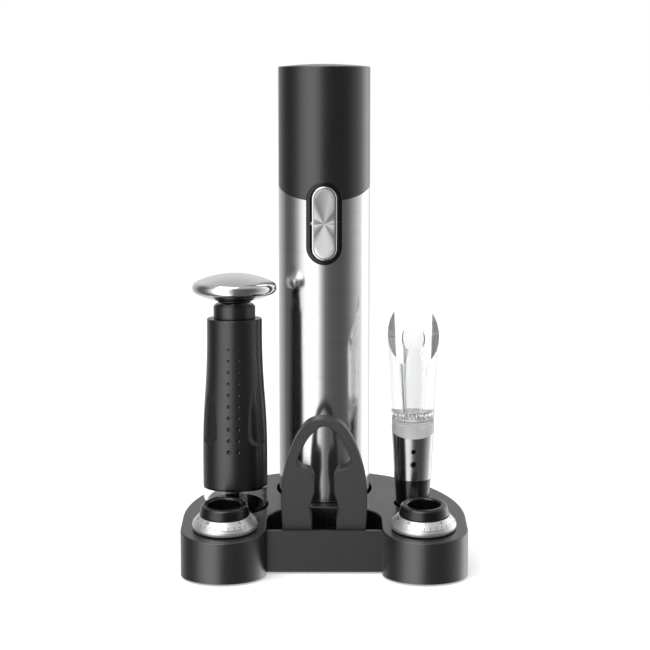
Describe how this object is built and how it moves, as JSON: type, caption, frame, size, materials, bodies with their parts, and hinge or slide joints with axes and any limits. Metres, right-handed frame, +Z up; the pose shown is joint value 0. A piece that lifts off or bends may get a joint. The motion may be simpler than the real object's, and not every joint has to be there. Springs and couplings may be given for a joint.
{
  "type": "electric wine opener",
  "caption": "Cylindrical cordless wine opener with a rocker switch, standing in a sloping dock with a vacuum pump, an aerating pourer, date-ring stoppers and a foil cutter.",
  "frame": {"origin": "on the table under the middle of the dock's outline", "axes": "+X to the right as seen from the front, +Y towards the back, +Z up along the opener"},
  "size_m": [0.1506, 0.1166, 0.267],
  "materials": {
    "stand_black": "satin moulded black ABS",
    "housing_black": "satin soft-touch black",
    "grip_black": "satin moulded black",
    "cutter_black": "fine matte black",
    "steel": "polished and lightly brushed stainless",
    "knob_steel": "mirror polished stainless",
    "chrome_rim": "bright plated",
    "spun_plate": "radially spun aluminium",
    "date_steel": "satin stainless",
    "gloss_black": "glossy black",
    "rubber_black": "smooth black silicone",
    "clear": "clear acrylic",
    "inner_white": "natural ABS",
    "gear_white": "natural acetal",
    "bush_bronze": "sintered bronze",
    "zinc": "zinc plated",
    "motor_steel": "nickel plated can",
    "cell_wrap": "blue heat-shrink wrap",
    "board_green": "solder resist",
    "switch_black": "switch body"
  },
  "bodies": {
    "stand": {"stand_shell": "stand_black", "stand_wells": "stand_black", "stand_tray": "stand_black", "stand_bottom_cover": "stand_black", "stand_screws": "zinc", "stand_feet": "rubber_black"},
    "opener": {"steel_sleeve": "steel", "upper_housing": "housing_black", "button_frame": "gloss_black", "inner_frame": "inner_white", "neck_guide": "housing_black", "cork_tube": "inner_white", "gearbox_housing": "gear_white", "gearbox_cover": "gear_white", "gearbox_screws": "zinc", "output_bush": "bush_bronze", "motor": "motor_steel", "battery_cell": "cell_wrap", "battery_holder": "inner_white", "control_board": "board_green", "tact_switches": "switch_black", "charge_board": "board_green", "usb_socket": "zinc"},
    "rocker": {"rocker_button": "chrome_rim", "rocker_faceplate": "spun_plate", "rocker_pin": "zinc"},
    "spindle": {"planet_carrier": "zinc", "worm_hub": "zinc", "corkscrew_worm": "steel"},
    "rotor": {"motor_shaft": "zinc", "sun_gear": "zinc"},
    "planet_1": {"planet_gear_1": "gear_white"},
    "planet_2": {"planet_gear_2": "gear_white"},
    "planet_3": {"planet_gear_3": "gear_white"},
    "pump": {"pump_barrel": "clear", "pump_valve": "rubber_black", "pump_grip": "grip_black", "pump_collar": "grip_black"},
    "pump_handle": {"pump_rod": "zinc", "pump_knob": "knob_steel", "knob_insert": "grip_black", "pump_piston": "inner_white", "piston_seal": "rubber_black"},
    "pourer": {"pourer_stopper": "rubber_black", "pourer_ring": "steel", "aerator_core": "grip_black", "pourer_neck": "clear", "pourer_spout": "clear"},
    "stopper_left": {"stopper_plug_left": "rubber_black", "stopper_valve_left": "rubber_black"},
    "date_dial_left": {"date_ring_left": "date_steel"},
    "stopper_right": {"stopper_plug_right": "rubber_black", "stopper_valve_right": "rubber_black"},
    "date_dial_right": {"date_ring_right": "date_steel"},
    "foil_cutter": {"cutter_frame": "cutter_black", "cutter_pins": "zinc"},
    "wheel_1": {"cutter_wheel_1": "steel"},
    "wheel_2": {"cutter_wheel_2": "steel"},
    "wheel_3": {"cutter_wheel_3": "steel"},
    "wheel_4": {"cutter_wheel_4": "steel"}
  },
  "joints": [
    {"name": "opener_lift", "type": "slide", "parent": "stand", "child": "opener", "axis": [0, 0, 1], "range_m": [0, 0.16]},
    {"name": "rocker_tilt", "type": "hinge", "parent": "opener", "child": "rocker", "pos_m": [0, 0.0061, 0.182], "axis": [1, 0, 0], "range_deg": [-4, 4], "stiffness_Nm_per_rad": 0.35},
    {"name": "spindle_spin", "type": "hinge", "parent": "opener", "child": "spindle", "pos_m": [0, 0.029, 0.122], "axis": [0, 0, 1], "continuous": true},
    {"name": "rotor_spin", "type": "hinge", "parent": "opener", "child": "rotor", "pos_m": [0, 0.029, 0.122], "axis": [0, 0, 1], "continuous": true},
    {"name": "planet_1_spin", "type": "hinge", "parent": "spindle", "child": "planet_1", "pos_m": [0.0105, 0.029, 0.122], "axis": [0, 0, 1], "continuous": true},
    {"name": "planet_2_spin", "type": "hinge", "parent": "spindle", "child": "planet_2", "pos_m": [-0.00525, 0.03809, 0.122], "axis": [0, 0, 1], "continuous": true},
    {"name": "planet_3_spin", "type": "hinge", "parent": "spindle", "child": "planet_3", "pos_m": [-0.00525, 0.01991, 0.122], "axis": [0, 0, 1], "continuous": true},
    {"name": "pump_lift", "type": "slide", "parent": "stand", "child": "pump", "axis": [0, 0, 1], "range_m": [0, 0.16]},
    {"name": "pump_stroke", "type": "slide", "parent": "pump", "child": "pump_handle", "axis": [0, 0, 1], "range_m": [0, 0.065]},
    {"name": "pourer_lift", "type": "slide", "parent": "stand", "child": "pourer", "axis": [0, 0, 1], "range_m": [0, 0.14]},
    {"name": "stopper_left_lift", "type": "slide", "parent": "stand", "child": "stopper_left", "axis": [0, -0.1191, 0.9929], "range_m": [0, 0.05]},
    {"name": "date_dial_left_turn", "type": "hinge", "parent": "stopper_left", "child": "date_dial_left", "pos_m": [-0.0521, -0.035, 0.02532], "axis": [0, -0.1191, 0.9929], "continuous": true},
    {"name": "stopper_right_lift", "type": "slide", "parent": "stand", "child": "stopper_right", "axis": [0, -0.1191, 0.9929], "range_m": [0, 0.05]},
    {"name": "date_dial_right_turn", "type": "hinge", "parent": "stopper_right", "child": "date_dial_right", "pos_m": [0.0521, -0.035, 0.02532], "axis": [0, -0.1191, 0.9929], "continuous": true},
    {"name": "foil_cutter_lift", "type": "slide", "parent": "stand", "child": "foil_cutter", "axis": [0, 0, 1], "range_m": [0, 0.09]},
    {"name": "wheel_1_spin", "type": "hinge", "parent": "foil_cutter", "child": "wheel_1", "pos_m": [0.01637, -0.022, 0.01048], "axis": [0, 1, 0], "continuous": true},
    {"name": "wheel_2_spin", "type": "hinge", "parent": "foil_cutter", "child": "wheel_2", "pos_m": [0.01184, -0.022, 0.01884], "axis": [0, 1, 0], "continuous": true},
    {"name": "wheel_3_spin", "type": "hinge", "parent": "foil_cutter", "child": "wheel_3", "pos_m": [-0.01184, -0.022, 0.01884], "axis": [0, 1, 0], "continuous": true},
    {"name": "wheel_4_spin", "type": "hinge", "parent": "foil_cutter", "child": "wheel_4", "pos_m": [-0.01637, -0.022, 0.01048], "axis": [0, 1, 0], "continuous": true}
  ],
  "couplings": [
    {"joint": "rotor_spin", "follows": "spindle_spin", "ratio": 4.6667},
    {"joint": "planet_1_spin", "follows": "spindle_spin", "ratio": -2.75},
    {"joint": "planet_2_spin", "follows": "spindle_spin", "ratio": -2.75},
    {"joint": "planet_3_spin", "follows": "spindle_spin", "ratio": -2.75}
  ]
}
